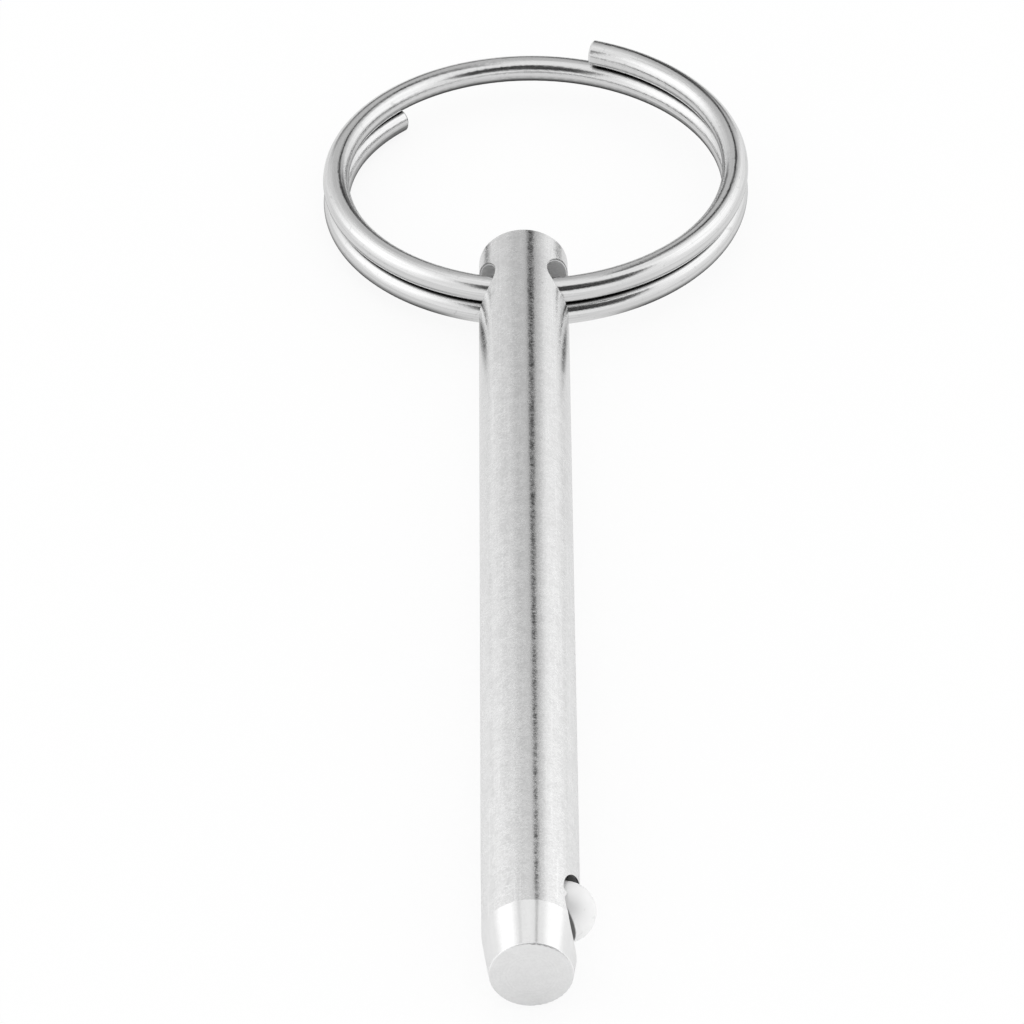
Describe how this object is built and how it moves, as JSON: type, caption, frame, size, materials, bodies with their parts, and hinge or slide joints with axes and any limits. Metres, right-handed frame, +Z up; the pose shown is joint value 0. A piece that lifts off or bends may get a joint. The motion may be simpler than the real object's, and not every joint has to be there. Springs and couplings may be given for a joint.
{
  "type": "quick release pin",
  "caption": "Round steel pin with a coned nose, a sprung ball in a slanted bore that lets it push in but not pull out, and a split pull ring through an eye at the other end.",
  "frame": {"origin": "on the shank's axis, halfway along the grip", "axes": "Y along the shank with the nose at -Y and the ring at +Y, the ball on the +X side and rolled 4 degrees up from it, +Z up from the surface the pin lies on"},
  "size_m": [0.0307, 0.0994, 0.0064],
  "materials": {
    "shank_steel": "satin ground",
    "ball_steel": "polished",
    "spring_steel": "drawn wire",
    "ring_steel": "bright drawn wire"
  },
  "bodies": {
    "shank": {"pin_shank": "shank_steel", "ball_spring": "spring_steel"},
    "ball": {"locking_ball": "ball_steel"},
    "ring": {"split_ring": "ring_steel"}
  },
  "joints": [
    {"name": "ring_swing", "type": "hinge", "parent": "shank", "child": "ring", "pos_m": [0, 0.0321, -0.0002], "axis": [1, 0, 0], "range_deg": [-166, 168]},
    {"name": "ball_slide", "type": "slide", "parent": "shank", "child": "ball", "axis": [0.6412, -0.766, 0.0448], "range_m": [-0.0016, 0], "stiffness_N_per_m": 300, "springref_m": 0.003, "deforming": ["ball_spring"]}
  ]
}
